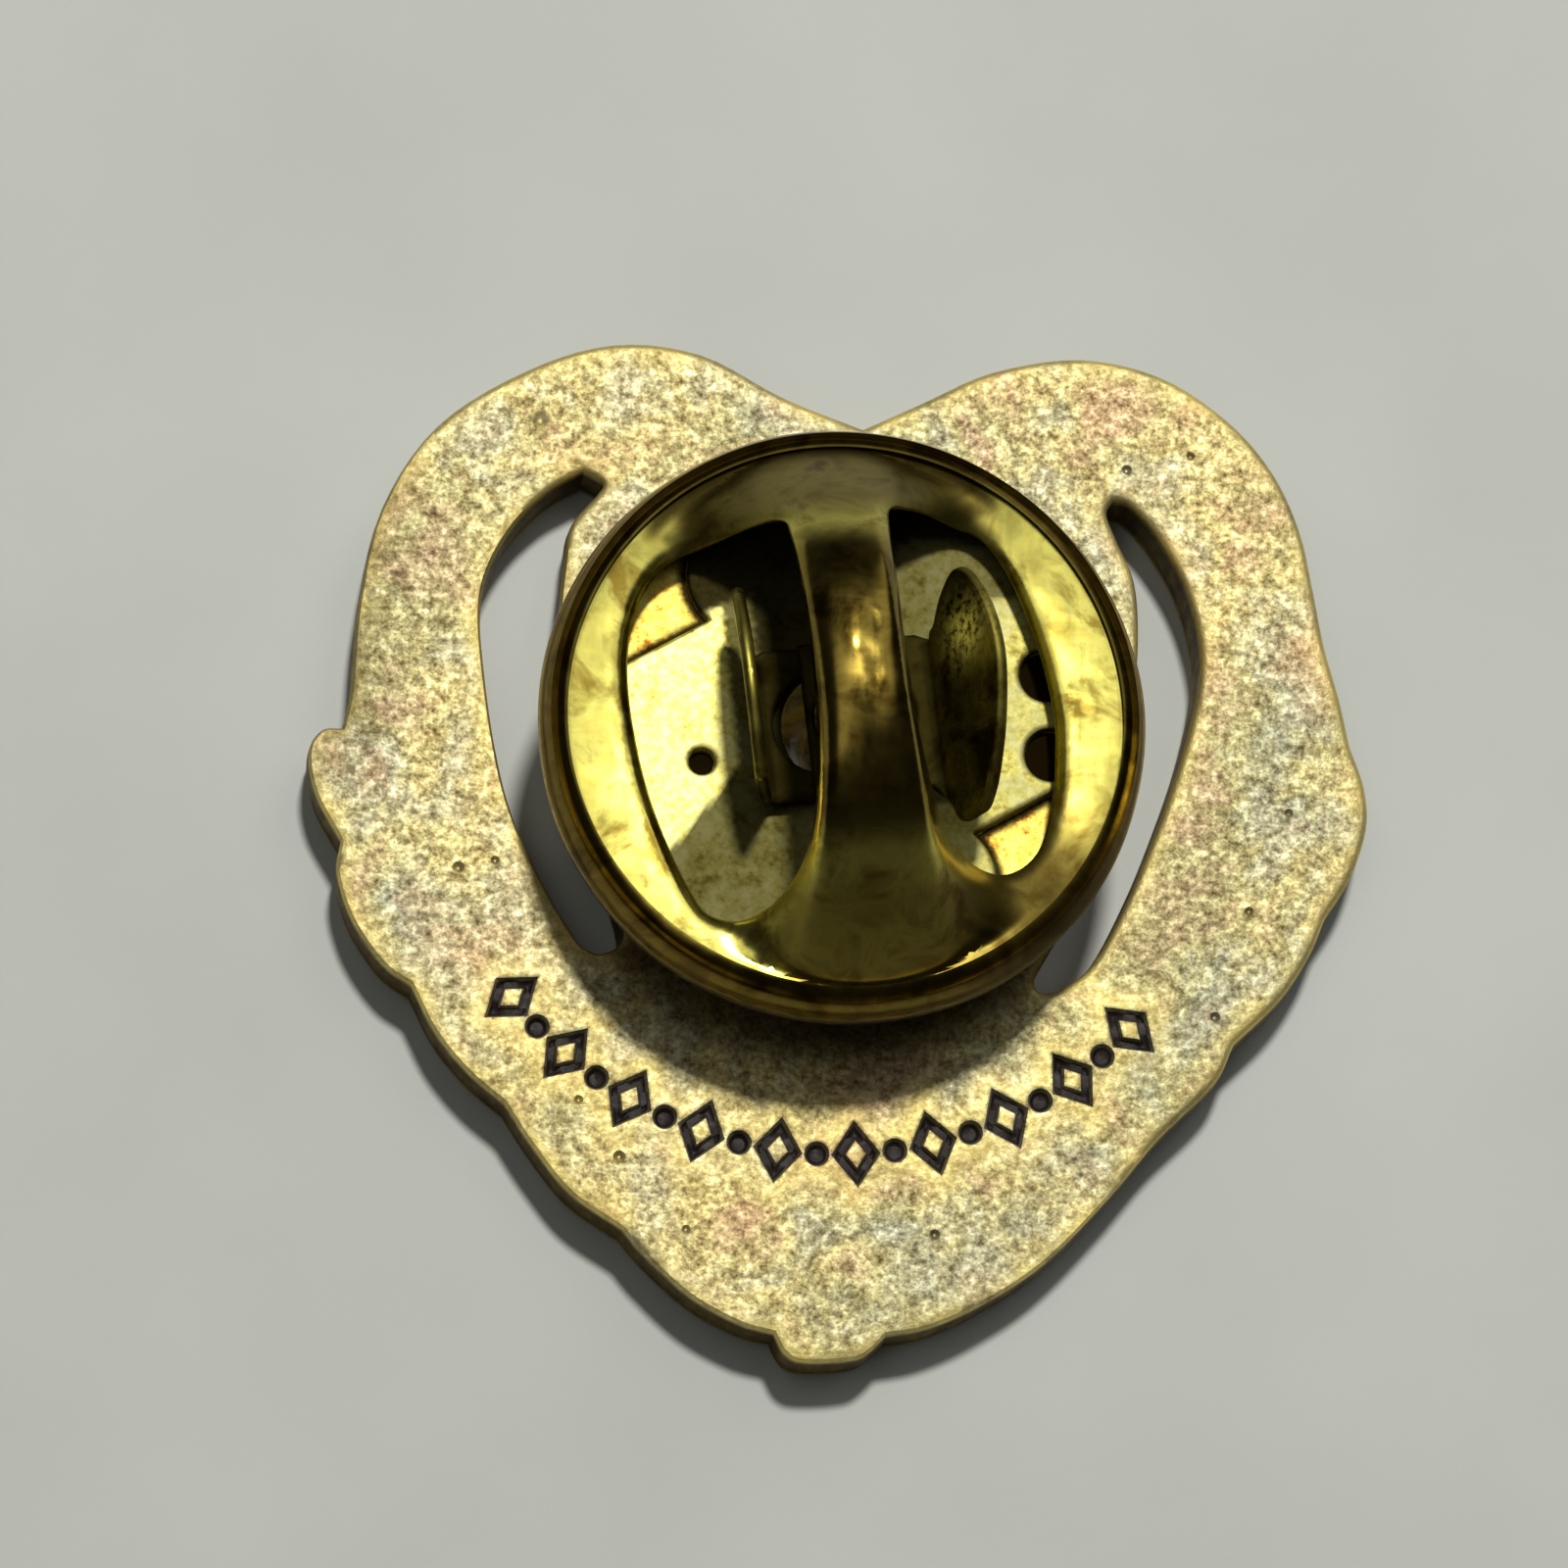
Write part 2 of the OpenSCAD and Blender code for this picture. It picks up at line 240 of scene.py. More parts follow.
def closed(top, top_heights, bottom, bottom_heights, rows=3, bulge=0.0):
    """A closed plate from two sheets with the same edges.

    Returns its points, its faces and, for each point, TOP, WALL or BOTTOM."""
    points = [np.column_stack([top.points, top_heights]), np.column_stack([bottom.points, bottom_heights])]
    shift = len(top.points)
    faces = [list(f) for f in top.faces] + [[shift + i for i in f[::-1]] for f in bottom.faces]
    part = [np.full(len(top.points), TOP), np.full(len(bottom.points), BOTTOM)]
    count = shift + len(bottom.points)
    for upper, lower in zip(top.rims, bottom.rims):
        rim = [upper]
        n = len(upper)
        flat = top.points[upper]
        along = np.roll(flat, -1, 0) - np.roll(flat, 1, 0)
        out = np.stack([along[:, 1], -along[:, 0]], 1)
        out /= np.maximum(np.linalg.norm(out, axis=1, keepdims=True), 1e-9)
        for row in range(1, rows):
            t = row / rows
            high, low = top_heights[upper], bottom_heights[lower]
            swell = bulge * math.sin(math.pi * t)
            z = high + (low - high) * t
            points.append(np.column_stack([flat + out * swell, z]))
            part.append(np.full(n, WALL))
            rim.append(list(range(count, count + n)))
            count += n
        rim.append([shift + i for i in lower])
        for a, b in zip(rim, rim[1:]):
            for i in range(n):
                j = (i + 1) % n
                faces.append([a[i], b[i], b[j], a[j]])
    return np.concatenate(points), faces, np.concatenate(part)


def round_edge(distance, radius):
    """How far a rounded edge falls below its face, for a distance from the outline."""
    t = np.clip(distance / radius, 0, 1)
    return radius * (1 - np.sqrt(np.maximum(0, 1 - (1 - t) ** 2)))


def lathe(profile, turns=96, wobble=None):
    """A closed turned form from (radius, height) points, the first and last on or off the axis."""
    points, faces = [], []
    count = len(profile)
    for i in range(turns):
        a = 2 * math.pi * i / turns
        for j, (r, z) in enumerate(profile):
            if wobble:
                r, z = wobble(a, r, z, j)
            points.append((r * math.cos(a), r * math.sin(a), z))
    for i in range(turns):
        k = (i + 1) % turns
        for j in range(count):
            m = (j + 1) % count
            faces.append([i * count + j, k * count + j, k * count + m, i * count + m])
    return np.array(points), faces


def in_clutch_frame(points):
    """From the clutch's own axes, with v along the bridge, to the row frame."""
    c, s = math.cos(CLUTCH_TURN), math.sin(CLUTCH_TURN)
    x, y, z = np.asarray(points, float).T
    return np.stack([x * c - y * s, x * s + y * c, z + CLUTCH_Z], 1)


# ---------------------------------------------------------------- pieces


def piece(name, points, faces, body, material, stands_for=(), sharp=38, values=None):
    mesh = bpy.data.meshes.new(name)
    mesh.from_pydata((np.asarray(points) * MM).tolist(), [], [list(map(int, f)) for f in faces])
    mesh.validate()
    mesh.polygons.foreach_set("use_smooth", [True] * len(mesh.polygons))
    mesh.set_sharp_from_angle(angle=math.radians(sharp))
    for key, numbers in (values or {}).items():
        mesh.attributes.new(key, "FLOAT", "POINT").data.foreach_set("value", np.asarray(numbers, np.float32))
    mesh.materials.append(material)
    made = bpy.data.objects.new(name, mesh)
    bpy.context.scene.collection.objects.link(made)
    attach(made, body)
    if stands_for:
        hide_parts(*stands_for)
    return made


# ---------------------------------------------------------------- materials


def colour(r, g, b):
    """An sRGB colour in 0 to 255 as linear values."""
    linear = [((c / 255 + 0.055) / 1.055) ** 2.4 if c > 10 else c / 255 / 12.92 for c in (r, g, b)]
    return (*linear, 1.0)


def feed(tree, socket, value):
    """Links a socket's value to another node, or sets it."""
    if isinstance(value, bpy.types.NodeSocket):
        tree.links.new(value, socket)
    else:
        socket.default_value = value


class Nodes:
    """A short way to write a material's nodes."""

    def __init__(self, name):
        self.material = bpy.data.materials.new(name)
        self.material.use_nodes = True
        self.tree = self.material.node_tree
        self.tree.nodes.clear()
        self.where = self.add("TexCoord").outputs["Object"]

    def add(self, kind, **inputs):
        made = self.tree.nodes.new("ShaderNode" + kind)
        for key, value in inputs.items():
            feed(self.tree, made.inputs[key.replace("_", " ")], value)
        return made

    def noise(self, size_mm, detail=2.0, roughness=0.55, distortion=0.0, at=None):
        made = self.add("TexNoise", Vector=at or self.where, Scale=1 / (size_mm * MM), Detail=detail,
                        Roughness=roughness, Distortion=distortion)
        return made.outputs[0]

    def cells(self, size_mm, feature="F1", randomness=1.0):
        made = self.add("TexVoronoi", Vector=self.where, Scale=1 / (size_mm * MM), Randomness=randomness)
        made.feature = feature
        return made.outputs["Distance"]

    def stretched(self, scale, turn=0.0):
        made = self.add("Mapping", Vector=self.where, Scale=scale, Rotation=(0, 0, math.radians(turn)))
        return made.outputs[0]

    def ramp(self, value, stops):
        made = self.add("ValToRGB", Fac=value)
        points = made.color_ramp.elements
        while len(points) < len(stops):
            points.new(0.5)
        for point, (at, shade) in zip(points, stops):
            point.position, point.color = at, shade if len(shade) == 4 else colour(*shade)
        return made.outputs[0]

    def span(self, value, low, high, to_low=0.0, to_high=1.0):
        made = self.add("MapRange", Value=value, From_Min=low, From_Max=high, To_Min=to_low, To_Max=to_high)
        return made.outputs[0]

    def value(self, name):
        made = self.add("Attribute")
        made.attribute_name = name
        return made.outputs["Fac"]

    def mix(self, factor, a, b, how="MIX"):
        made = self.tree.nodes.new("ShaderNodeMix")
        made.data_type, made.blend_type = "RGBA", how
        for place, value in ((0, factor), (6, a), (7, b)):
            feed(self.tree, made.inputs[place], value)
        return made.outputs[2]

    def maths(self, how, a, b=0.0):
        made = self.tree.nodes.new("ShaderNodeMath")
        made.operation = how
        feed(self.tree, made.inputs[0], a)
        feed(self.tree, made.inputs[1], b)
        return made.outputs[0]

    def bump(self, height, depth_mm, strength=1.0, normal=None):
        made = self.add("Bump", Height=height, Distance=depth_mm * MM, Strength=strength)
        if normal is not None:
            self.tree.links.new(normal, made.inputs["Normal"])
        return made.outputs[0]

    def surface(self, **inputs):
        shader = self.add("BsdfPrincipled", **inputs)
        out = self.tree.nodes.new("ShaderNodeOutputMaterial")
        self.tree.links.new(shader.outputs[0], out.inputs["Surface"])
        return self.material


# The dark colour for grimy spots and for painted shade.
GRIME_AND_SHADE = (34, 25, 8)
GRIME_AND_SHADE_ROUGHNESS = 0.8


def badge_metal():
    """Struck brass with a sand-blasted, tarnished back, worn edges with a painted highlight line, a painted
    shadow under the clutch and side walls painted dark as shade.
    """
    n = Nodes("badge_brass")
    grain, coarse = n.noise(0.1, 3, 0.65), n.noise(0.24, 3, 0.6)
    streaks = n.noise(0.3, 3, 0.6, at=n.stretched((1.0, 1.0, 0.35)))
    blotch, cloud = n.noise(2.2, 4, 0.6, 0.4), n.noise(4.5, 3, 0.55)
    speckle = n.mix(0.5, grain, coarse)
    metal = n.ramp(speckle, [(0.33, (112, 98, 70)), (0.41, (154, 143, 111)), (0.5, (186, 178, 145)),
                             (0.58, (212, 205, 172)), (0.68, (238, 234, 210))])
    tint = n.ramp(blotch, [(0.3, (232, 208, 200)), (0.42, (232, 234, 232)), (0.54, (255, 246, 204)),
                           (0.66, (250, 218, 198))])
    metal = n.mix(0.85, metal, tint, "MULTIPLY")
    grey = n.ramp(cloud, [(0.38, (255, 252, 236)), (0.62, (204, 214, 222))])
    metal = n.mix(0.7, metal, grey, "MULTIPLY")
    # Brighter where worn, and along a painted highlight line at the edge.
    metal = n.mix(n.value("worn_and_highlight"), metal, colour(240, 220, 138))
    # Darker where dirty, under a painted shadow of the clutch and near the left edge.
    metal = n.mix(n.value("dirt_and_shade"), metal, colour(60, 46, 18))
    # The side walls are painted dark brown: painted shade.
    shaded_wall = n.ramp(streaks, [(0.35, (72, 57, 24)), (0.5, (90, 73, 33)), (0.66, (112, 93, 45))])
    metal = n.mix(n.value("wall"), metal, shaded_wall)
    metal = n.mix(n.value("fill"), metal, colour(26, 15, 12))
    gloss = n.span(speckle, 0.35, 0.65, 0.7, 0.52)
    smoother = n.mix(0.8, n.mix(0.5, grain, coarse), (0.5, 0.5, 0.5, 1.0))
    height = n.mix(n.value("wall"), n.mix(0.5, grain, coarse), smoother)
    return n.surface(Base_Color=metal, Metallic=n.span(n.value("fill"), 0, 1, 1.0, 0.25), Roughness=gloss,
                     Normal=n.bump(height, 0.026, 0.8))


def brass(name, bright, dull, stain, gloss=(0.14, 0.28), dents=0.02, scratches=0.5):
    """Pressed brass: blotched tarnishing over a bright metal, fine scratches, darker where its values give
    tarnishing, grimy spots and painted shade, and brighter where they give a painted highlight.
    """
    n = Nodes(name)
    blotch, fine = n.noise(1.1, 4, 0.62, 0.5), n.noise(0.16, 4, 0.7)
    lines = n.noise(0.35, 3, 0.6, 0.2, at=n.stretched((1.0, 0.12, 1.0), 24))
    cross = n.noise(0.3, 3, 0.6, 0.2, at=n.stretched((0.14, 1.0, 1.0), -38))
    marks = n.mix(0.5, lines, cross)
    spots = n.span(n.noise(0.5, 3, 0.6), 0.62, 0.7)
    metal = n.ramp(blotch, [(0.36, stain), (0.5, bright), (0.66, dull)])
    metal = n.mix(n.span(fine, 0.35, 0.75, 0.0, 0.3), metal, colour(*dull))
    metal = n.mix(n.maths("MULTIPLY", spots, 0.35), metal, colour(*stain))
    # Tarnishing, and the dark reflections painted in with it.
    tarnish_and_shade_tone = n.ramp(blotch, [(0.36, (84, 66, 22)), (0.52, (122, 102, 42)), (0.68, (96, 77, 32))])
    metal = n.mix(n.value("tarnish_and_shade"), metal, tarnish_and_shade_tone)
    # Grimy spots and painted shade.
    metal = n.mix(n.value("grime_and_shade"), metal, colour(*GRIME_AND_SHADE))
    # A painted highlight: a bright yellow patch.
    highlight_here = n.maths("MULTIPLY", n.value("painted_highlight"), n.span(fine, 0.35, 0.55))
    metal = n.mix(highlight_here, metal, colour(240, 226, 92))
    rough_at = n.span(n.mix(0.5, blotch, marks), 0.38, 0.62, *gloss)
    rough_at = n.maths("MAXIMUM", rough_at, n.maths("MULTIPLY", n.value("grime_and_shade"), GRIME_AND_SHADE_ROUGHNESS))
    rough_at = n.maths("MAXIMUM", rough_at, n.value("dull"))
    normal = n.bump(marks, 0.004, scratches)
    normal = n.bump(n.noise(0.9, 2, 0.5), dents, 0.6, normal)
    return n.surface(Base_Color=metal, Metallic=n.span(highlight_here, 0, 1, 1.0, 0.2), Roughness=rough_at,
                     Normal=normal)


def grainy_brass(name, stops, size=0.09, depth=0.02, gloss=(0.3, 0.5), with_grime_and_shade=False):
    """Unpolished brass sheet with its rolled grain, and grimy spots and painted shade where its values say
    so.
    """
    n = Nodes(name)
    grain, blotch = n.noise(size, 3, 0.65), n.noise(0.6, 3, 0.6, 0.3)
    metal = n.ramp(n.mix(0.5, grain, blotch), stops)
    if with_grime_and_shade:
        metal = n.mix(n.value("grime_and_shade"), metal, colour(*GRIME_AND_SHADE))
    rough_at = n.span(blotch, 0.35, 0.65, *gloss)
    if with_grime_and_shade:
        rough_at = n.maths("MAXIMUM", rough_at, n.maths("MULTIPLY", n.value("grime_and_shade"), GRIME_AND_SHADE_ROUGHNESS))
    return n.surface(Base_Color=metal, Metallic=1.0, Roughness=rough_at, Normal=n.bump(grain, depth, 0.6))


def enamel_paint(name, main, dark):
    """Soft enamel: a glossy fill with slight swirls, specks and pinholes."""
    n = Nodes(name)
    swirl, speck = n.noise(1.2, 4, 0.6, 0.8), n.cells(0.5)
    paint = n.ramp(swirl, [(0.35, dark), (0.5, main), (0.7, tuple(min(255, c + 14) for c in main))])
    paint = n.mix(n.span(speck, 0.03, 0.0), paint, colour(*(c // 3 for c in main)))
    wavy = n.bump(n.noise(0.8, 2, 0.5), 0.02, 0.5, n.bump(n.span(speck, 0.0, 0.06), 0.01, 0.6))
    return n.surface(Base_Color=paint, Roughness=n.span(swirl, 0.3, 0.7, 0.12, 0.24), Normal=wavy,
                     Coat_Weight=0.5, Coat_Roughness=0.08)


def floor_paint():
    n = Nodes("floor_paint")
    shade = n.ramp(n.noise(9, 3, 0.5), [(0.3, (186, 189, 183)), (0.7, (194, 197, 191))])
    return n.surface(Base_Color=shade, Roughness=0.7, Normal=n.bump(n.noise(0.6, 3), 0.02, 0.3))


# ---------------------------------------------------------------- the badge

BADGE_T = box_mm("badge_body")[1][2]
STAMP_DEPTH = 0.18
# Casting pits in the back: x, y and radius.
PITS = [(-5.76, 6.47, 0.13), (-7.03, -2.5, 0.07), (-6.34, -2.33, 0.05), (8.13, -2.65, 0.05),
        (7.49, -4.76, 0.06), (8.88, -0.68, 0.05), (-2.5, -9.3, 0.05), (-3.8, -7.96, 0.07),
        (5.65, 6.05, 0.06), (6.9, 6.4, 0.05), (-4.6, -6.9, 0.05), (2.2, -9.2, 0.06)]


def back_heights(sheet):
    """The badge's back: a gently uneven face with rounded, burred edges, stamped marks and pits."""
    p = sheet.points
    z = BADGE_T + 0.012 * rough(p, 2.4) + 0.006 * rough(p, 0.7, 2) + 0.004 * rough(p, 0.22, 3)
    z -= 0.5 * round_edge(sheet.edge, 0.22)
    burr = 0.5 + 0.5 * rough(p, 1.4, 5) + 0.25 * rough(p, 0.3, 6)
    lower_left = smooth((-p[:, 0] - p[:, 1]) / 9 + 0.2)
    z += 0.06 * np.clip(burr, 0, 1) * lower_left * np.exp(-(((sheet.edge - 0.07) / 0.05) ** 2))
    depth, beside = sheet.mark_depth(0.09)
    z -= STAMP_DEPTH * depth * (1 + 0.25 * rough(p, 0.25, 8))
    z += np.where(beside > 0, 0.018 * np.exp(-((beside / 0.09) ** 2)), 0)
    for x, y, r in PITS:
        d = np.hypot(p[:, 0] - x, p[:, 1] - y) / r
        z -= 0.07 * np.exp(-(d**2)) - 0.015 * np.exp(-(((d - 1.7) / 0.5) ** 2))
    return z, depth


def front_heights(sheet):
    """The front: raised metal lines round the enamel cells."""
    p = sheet.points
    z = 0.35 * round_edge(sheet.edge, 0.25) + 0.006 * (1 + rough(p, 1.5, 4))
    depth, beside = sheet.mark_depth(0.07)
    z += 0.4 * depth + np.where(beside > 0, 0.35 * round_edge(beside, 0.08), 0)
    return z


def pit_points():
    """Extra points that follow the pits' rims."""
    around = np.arange(0, 6.28, 0.5)
    return np.array([(x + r * k * math.cos(a), y + r * k * math.sin(a))
                     for x, y, r in PITS for k in (0.4, 0.8, 1.2, 1.7, 2.3) for a in around])


def back_wear_and_shade(top):
    """How worn and dirty the badge's back is, with painted light: bright at edges and marks with a painted
    highlight line at the edge, a painted shadow south of the clutch, and darker near the left edge.
    """
    p = top.points
    x, y = p.T
    beside = top.mark_depth(1)[1]
    # Wear at the edges and marks, with a painted highlight line right at the edge.
    worn_and_highlight = 0.3 * np.exp(-((top.edge / 0.35) ** 2)) + 0.5 * np.exp(-((top.edge / 0.12) ** 2))
    worn_and_highlight += 0.6 * np.exp(-((beside / 0.4) ** 2)) * (beside > 0)
    worn_and_highlight = np.clip(worn_and_highlight * (0.8 + 0.6 * rough(p, 0.8, 9)), 0, 1)
    # Darker near the left edge.
    left = smooth((-7.6 - x) / 1.6) * smooth((y + 1.5) / 2)
    # A painted shadow of the clutch, on its south side.
    clutch_shadow = smooth((6.3 - np.hypot(x, y)) / 0.8) * smooth((-y - 1.5) / 3)
    dirt_and_shade = 0.75 * clutch_shadow + 0.5 * left * np.exp(-((top.edge / 0.9) ** 2))
    dirt_and_shade += 0.25 * np.clip(rough(p, 0.5, 11) - 0.35, 0, 1)
    return worn_and_highlight, dirt_and_shade


def badge():
    heart, *rest = loops_at("badge_body", BADGE_T)
    slots, marks = rest[:2], rest[2:]
    top = Sheet(heart, slots, marks, step=0.1, grid=0.14, extra=pit_points())
    z, depth = back_heights(top)
    slot_areas = [abs(area(s)) for s in slots]
    _, *holes = loops_at("badge_body", 0)
    cells = [c for c in holes if min(abs(abs(area(c)) - a) for a in slot_areas) >= 1e-3]
    bottom = Sheet(heart, slots, cells, step=0.1, grid=0.25, insets=(0.06, 0.15, 0.25),
                   mark_insets=(0.04, 0.08))
    points, faces, part = closed(top, z, bottom, front_heights(bottom), rows=6, bulge=0.03)
    others = len(points) - len(z)
    worn_and_highlight, dirt_and_shade = back_wear_and_shade(top)
    values = {"fill": np.append(smooth(depth * 1.4), np.zeros(others)),
              "worn_and_highlight": np.append(worn_and_highlight, np.full(others, 0.3)),
              "dirt_and_shade": np.append(dirt_and_shade, np.full(others, 0.1)),
              "wall": part == WALL}
    piece("badge_shell", points, faces, "badge", badge_metal(), ["badge_body"], values=values)


def enamel_fill(name, node, material, grid=0.3):
    """Each cell's enamel, a little lower in its middle than at its metal walls."""
    low, high = box_mm(node)
    points, faces, count = [], [], 0
    for loop in loops_at(node, low[2]):
        sheet = Sheet(loop, step=0.12, grid=grid, insets=(0.08, 0.18))
        front = low[2] - 0.035 + 0.05 * (1 - np.exp(-((sheet.edge / 0.25) ** 2)))
        front += 0.006 * rough(sheet.points, 0.9, 3)
        back = np.full(len(front), high[2] - 0.02)
        p, f, _ = closed(sheet, back, sheet, front, rows=2)
        points.append(p)
        faces += [[count + i for i in face] for face in f]
        count += len(p)
    piece(name, np.concatenate(points), faces, "badge", material, [node])


def enamels():
    red = enamel_paint("enamel_red", (168, 30, 40), (128, 16, 26))
    cream = enamel_paint("enamel_cream", (236, 226, 198), (220, 206, 172))
    dark = enamel_paint("enamel_dark_green", (24, 88, 54), (14, 62, 36))
    light = enamel_paint("enamel_light_green", (92, 150, 70), (70, 124, 52))
    coral = enamel_paint("enamel_coral", (200, 62, 56), (168, 40, 40))
    enamel_fill("heart_fill", "heart_enamel", red)
    enamel_fill("panel_fill", "panel_enamel", cream)
    enamel_fill("leaf_fill_dark", "leaf_enamel_dark", dark)
    enamel_fill("leaf_fill_light", "leaf_enamel_light", light)
    enamel_fill("berry_fill", "berry_enamel", coral)


# ---------------------------------------------------------------- the post

POST_R = 0.55
POST_TIP = box_mm("post")[1][2]
FOOT_R = box_mm("post")[1][0]
GROOVE = (3.89, 4.54)  # heights between which the jaws grip the post


def post():
    base = BADGE_T
    profile = [(0.02, base), (FOOT_R - 0.04, base), (FOOT_R, base + 0.05), (FOOT_R, base + 0.19),
               (FOOT_R - 0.06, base + 0.25), (POST_R + 0.1, base + 0.27), (POST_R, base + 0.36),
               (POST_R, GROOVE[0] - 0.04), (POST_R - 0.05, GROOVE[0]), (POST_R - 0.15, GROOVE[0] + 0.1),
               (POST_R - 0.16, GROOVE[1] - 0.1), (POST_R - 0.05, GROOVE[1]), (POST_R, GROOVE[1] + 0.04),
               (POST_R, POST_TIP - 1.5), (POST_R - 0.03, POST_TIP - 1.35), (0.3, POST_TIP - 0.6),
               (0.12, POST_TIP - 0.14), (0.07, POST_TIP - 0.03), (0.015, POST_TIP)]
    points, faces = lathe(profile, 64)
    tones = [(0.3, (150, 140, 112)), (0.5, (205, 196, 170)), (0.7, (232, 226, 206))]
    metal = grainy_brass("post_metal", tones, 0.12, 0.006, (0.2, 0.36))
    piece("post_turned", points, faces, "badge", metal, ["post"])
    low, high = box_mm("post_solder")

    def uneven(a, r, z, j):
        lift = 0.5 + 0.5 * math.sin(3 * a + 0.7) * math.sin(2 * a) + 0.2 * math.sin(7 * a)
        if j in (1, 2):
            r += 0.07 * lift - 0.06
        return r, z + (0.02 * (lift - 0.5) if 1 < j < 6 else 0)

    ring = [(POST_R - 0.02, low[2] + 0.02), (high[0] - 0.02, low[2] - 0.01), (high[0] - 0.1, low[2] + 0.05),
            (FOOT_R + 0.28, low[2] + 0.12), (FOOT_R + 0.08, low[2] + 0.22), (FOOT_R - 0.05, low[2] + 0.3),
            (POST_R + 0.22, low[2] + 0.31), (POST_R + 0.06, high[2] - 0.06), (POST_R - 0.02, high[2] - 0.01)]
    points, faces = lathe(ring, 72, uneven)
    tones = [(0.35, (120, 118, 108)), (0.5, (176, 174, 162)), (0.7, (206, 204, 192))]
    metal = grainy_brass("solder", tones, 0.3, 0.03, (0.25, 0.45))
    piece("solder_ring", points, faces, "badge", metal, ["post_solder"])


# ---------------------------------------------------------------- the clutch

CLUTCH_LOW, CLUTCH_HIGH = box_mm("clutch_cap")
CLUTCH_Z = CLUTCH_LOW[2]
CLUTCH_R = CLUTCH_HIGH[0]
CLUTCH_H = CLUTCH_HIGH[2] - CLUTCH_Z
CREASE_R = CLUTCH_R - 0.5
PLATE_Z = 1.65  # the cap's plate at its crease
RIM_TOP = 1.72
RIM_HALF_W = 0.62
SHEET_T = 0.26
TURNS = 200  # points round the cap's crease and rim
BRIDGE_HALF_W, BRIDGE_FLARE = 0.74, 0.026  # half width in the middle, and its growth with v squared
# Both windows as (u, v) points, with v along the bridge.
LEFT_WINDOW = [(-0.90, 2.9), (-0.98, 3.38), (-1.5, 3.5), (-2.66, 3.42), (-3.36, 2.95), (-3.8, 2.1),
               (-3.98, 1.15), (-3.97, 0.07), (-3.83, -1.1), (-3.59, -2.1), (-3.3, -2.95), (-3.0, -3.5),
               (-2.44, -3.7), (-1.8, -3.55), (-1.3, -3.05), (-1.06, -2.3), (-0.94, -1.2), (-0.88, 0.0),
               (-0.87, 1.5)]
RIGHT_WINDOW = [(0.96, 3.0), (1.12, 3.5), (1.7, 3.62), (2.48, 3.5), (3.02, 3.2), (3.45, 2.4), (3.8, 1.1),
                (3.95, -0.2), (3.88, -1.1), (3.71, -1.93), (3.35, -2.85), (2.78, -3.25), (2.2, -3.1),
                (1.62, -2.45), (1.24, -1.7), (0.98, -0.8), (0.9, 0.4), (0.9, 1.8)]
# Soft spots on the cap: u, v, half width, half length and depth.
DENTS = [(0.28, 0.95, 0.16, 0.32, 0.035), (-0.12, 0.5, 0.16, 0.3, -0.02), (0.2, -0.1, 0.12, 0.3, 0.025),
         (-0.35, -1.3, 0.25, 0.5, 0.015), (0.4, -2.2, 0.3, 0.4, 0.012), (-2.1, -3.95, 0.2, 0.16, 0.03)]
STAINS = [(-4.3, 0.2, 0.22, 0.7, 0.6), (4.25, 1.5, 0.3, 0.4, 0.45), (4.6, -0.2, 0.2, 0.3, 0.4),
          (-4.7, -1.5, 0.2, 0.5, 0.25), (3.9, 2.6, 0.25, 0.3, 0.3)]


def spots(u, v, places):
    """One soft spot after another, 0 far from it and its depth in its middle."""
    for at_u, at_v, wide, long, depth in places:
        yield depth * np.exp(-(((u - at_u) / wide) ** 2) - ((v - at_v) / long) ** 2)


def cap_heights(sheet):
    """The cap from above: a dished plate that swells up into the bridge."""
    u, v = sheet.points.T
    r = np.hypot(u, v)
    ring = np.clip((CREASE_R - r) / 1.4, 0, 1)
    plate = PLATE_Z - 0.05 - 0.30 * ring + 0.12 * ring**2
    half = BRIDGE_HALF_W + BRIDGE_FLARE * v**2
    root = 0.95 + np.where((u < 0) & (v < 0), 0.8, 1.6) * smooth((abs(v) - 2.7) / 1.6)
    across = smooth((abs(u) - half) / root)
    rise = (CLUTCH_H - plate) * (1 - np.clip(r / CREASE_R, 0, 1) ** 2.3)
    side = np.clip(abs(u) / half, 0, 1.3)
    crown = 0.06 * side**2 + 0.06 * side**4
    z = plate + np.maximum(0, rise - np.minimum(crown, rise)) * (1 - across)
    for dent in spots(u, v, DENTS):
        z -= dent
    z += 0.012 * rough(sheet.points, 1.3, 21) + 0.004 * rough(sheet.points, 0.45, 22)
    lip = np.clip(1 - Near(sheet.edges[1:])(sheet.points) / 0.26, 0, 1)
    return z - 0.11 * lip**2


def rim_profile():
    """The rolled rim as (radius, height), from the crease over the top and under to the base plate."""
    middle_r, middle_z = CLUTCH_R - RIM_HALF_W, RIM_TOP / 2
    turn_over = np.radians(np.concatenate([[80, 74], np.linspace(66, -100, 19)]))
    roll = [(middle_r + RIM_HALF_W * math.cos(t), middle_z + RIM_TOP / 2 * math.sin(t)) for t in turn_over]
    crease = [(CREASE_R + 0.012, PLATE_Z - 0.075), (CREASE_R + 0.03, PLATE_Z - 0.02)]
    return crease + roll + [(4.86, 0.03), (4.72, 0.005), (4.63, 0.02)]


